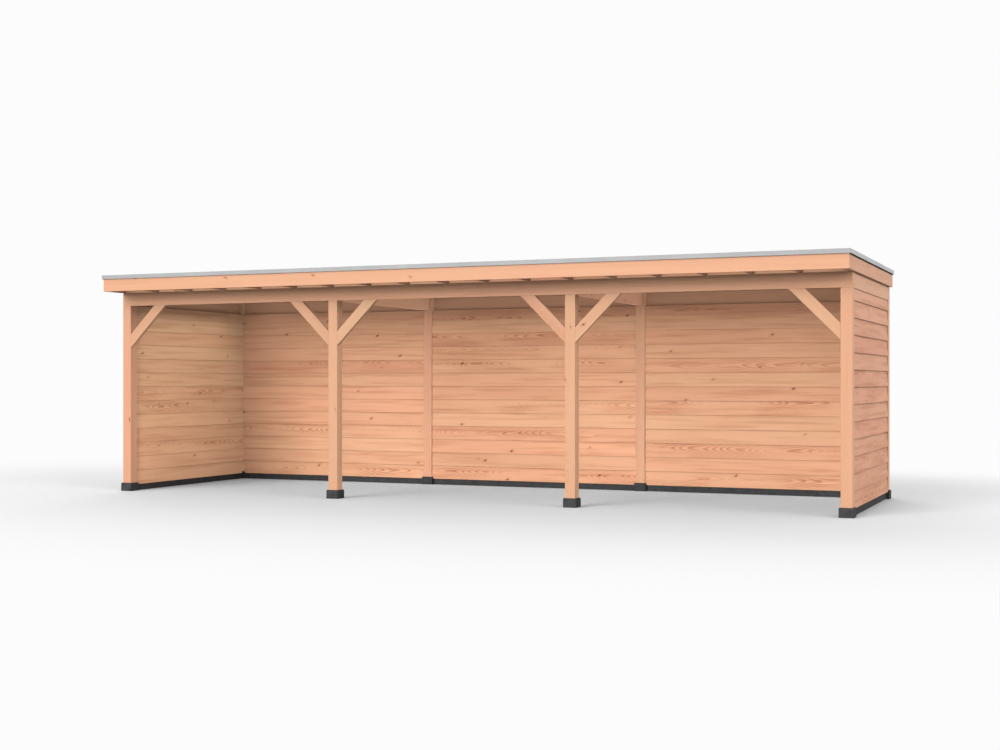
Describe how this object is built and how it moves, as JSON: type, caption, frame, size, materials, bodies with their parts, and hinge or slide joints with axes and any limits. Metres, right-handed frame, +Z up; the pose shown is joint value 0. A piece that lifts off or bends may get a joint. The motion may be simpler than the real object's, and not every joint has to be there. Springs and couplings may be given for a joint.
{
  "type": "garden canopy",
  "caption": "Long flat-roofed timber garden canopy with an open braced front, boarded back and ends, concrete feet and ground boards, deep front overhang and metal roof trim.",
  "frame": {"origin": "on the ground under the centre of the roof's outline", "axes": "+X along the length to the right as seen from the open front, +Y from the open front to the back wall, +Z up"},
  "size_m": [9.206, 3.065, 2.711],
  "materials": {
    "timber": "planed softwood, salmon brown, untreated",
    "concrete": "cast anthracite concrete, matte",
    "roof_trim": "mill aluminium, satin",
    "membrane": "rubber roof sheet, matte"
  },
  "bodies": {
    "root": {"back_beam": "timber", "back_fascia": "timber", "back_foot_1": "concrete", "back_foot_2": "concrete", "back_foot_3": "concrete", "back_foot_4": "concrete", "back_ground_boards": "concrete", "back_post_1": "timber", "back_post_2": "timber", "back_post_3": "timber", "back_post_4": "timber", "back_roof_trim": "roof_trim", "back_wall_1": "timber", "back_wall_2": "timber", "back_wall_3": "timber", "brace_1_right": "timber", "brace_2_left": "timber", "brace_2_right": "timber", "brace_3_left": "timber", "brace_3_right": "timber", "brace_4_left": "timber", "cross_beam_2": "timber", "cross_beam_3": "timber", "front_beam": "timber", "front_fascia": "timber", "front_foot_1": "concrete", "front_foot_2": "concrete", "front_foot_3": "concrete", "front_foot_4": "concrete", "front_post_1": "timber", "front_post_2": "timber", "front_post_3": "timber", "front_post_4": "timber", "front_roof_trim": "roof_trim", "left_beam": "timber", "left_fascia": "timber", "left_ground_board": "concrete", "left_roof_trim": "roof_trim", "left_wall": "timber", "right_beam": "timber", "right_fascia": "timber", "right_ground_board": "concrete", "right_roof_trim": "roof_trim", "right_wall": "timber", "roof_deck": "timber", "roof_joists": "timber", "roof_membrane": "membrane"}
  },
  "joints": []
}
